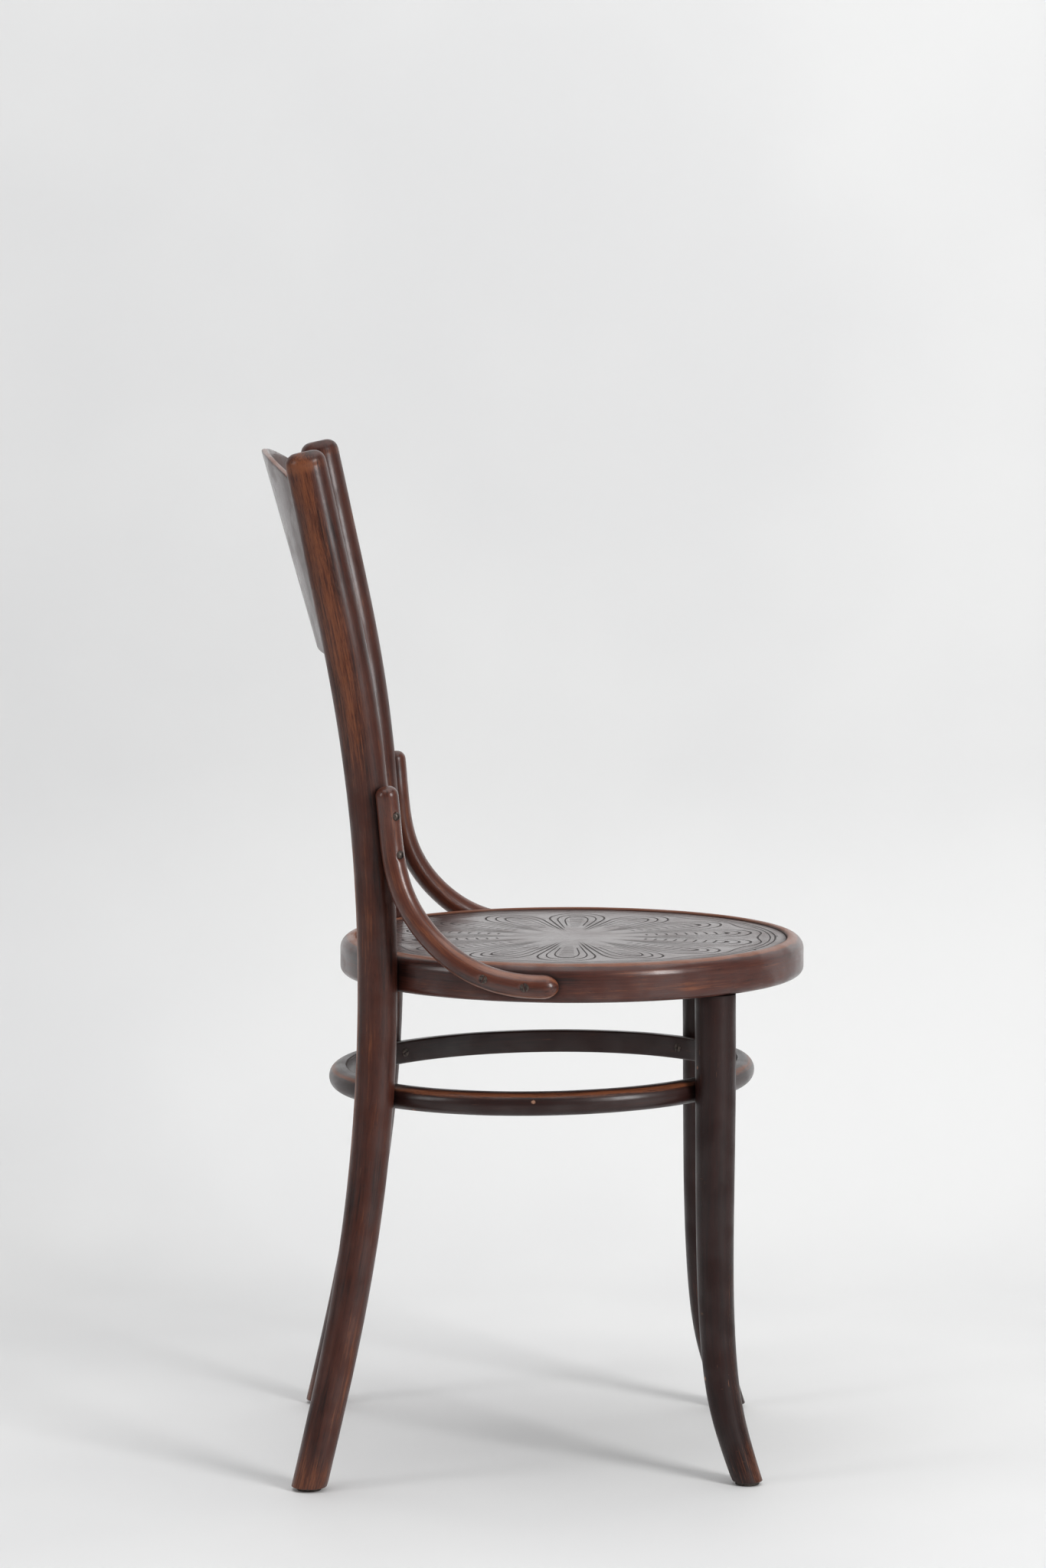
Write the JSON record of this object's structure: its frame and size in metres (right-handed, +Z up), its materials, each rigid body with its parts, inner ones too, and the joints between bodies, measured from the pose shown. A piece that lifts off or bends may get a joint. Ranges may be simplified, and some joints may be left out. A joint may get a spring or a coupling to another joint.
{
  "type": "bentwood bistro chair",
  "caption": "Armless bentwood chair: round seat in a bent rim, tall curved rear posts, bent back panel, curved side braces, flared front legs and a bent leg ring.",
  "frame": {"origin": "on the floor, under the middle of the chair's overall box", "axes": "+Z up, -Y is the chair's front, +X is the sitter's left"},
  "size_m": [0.4334, 0.4771, 0.8931],
  "materials": {
    "rim_beech": "dark red-brown stain under worn semi-gloss varnish",
    "seat_ply": "dark red-brown stain under worn semi-gloss varnish, pressed relief",
    "ring_beech": "dark red-brown stain under worn semi-gloss varnish",
    "back_ply": "dark red-brown stain under smooth semi-gloss varnish",
    "post_beech": "dark red-brown stain under worn semi-gloss varnish",
    "leg_beech": "dark red-brown stain under worn semi-gloss varnish",
    "brace_beech": "dark red-brown stain under worn semi-gloss varnish",
    "glide_steel": "dull and worn",
    "dark_screw": "darkened by age",
    "bolt_steel": "dull zinc",
    "brad_steel": "darkened by age"
  },
  "bodies": {
    "root": {"seat_rim": "rim_beech", "seat_panel": "seat_ply", "leg_ring": "ring_beech", "back_panel": "back_ply", "rear_post_left": "post_beech", "rear_post_right": "post_beech", "front_leg_left": "leg_beech", "front_leg_right": "leg_beech", "side_brace_left": "brace_beech", "side_brace_right": "brace_beech", "foot_glide_rear_left": "glide_steel", "foot_glide_rear_right": "glide_steel", "foot_glide_front_left": "glide_steel", "foot_glide_front_right": "glide_steel", "brace_post_screws": "dark_screw", "brace_rim_screws": "dark_screw", "ring_screws": "dark_screw", "post_bolts": "bolt_steel", "post_washers": "bolt_steel", "seat_panel_pins": "brad_steel", "back_panel_pins": "brad_steel"}
  },
  "joints": []
}
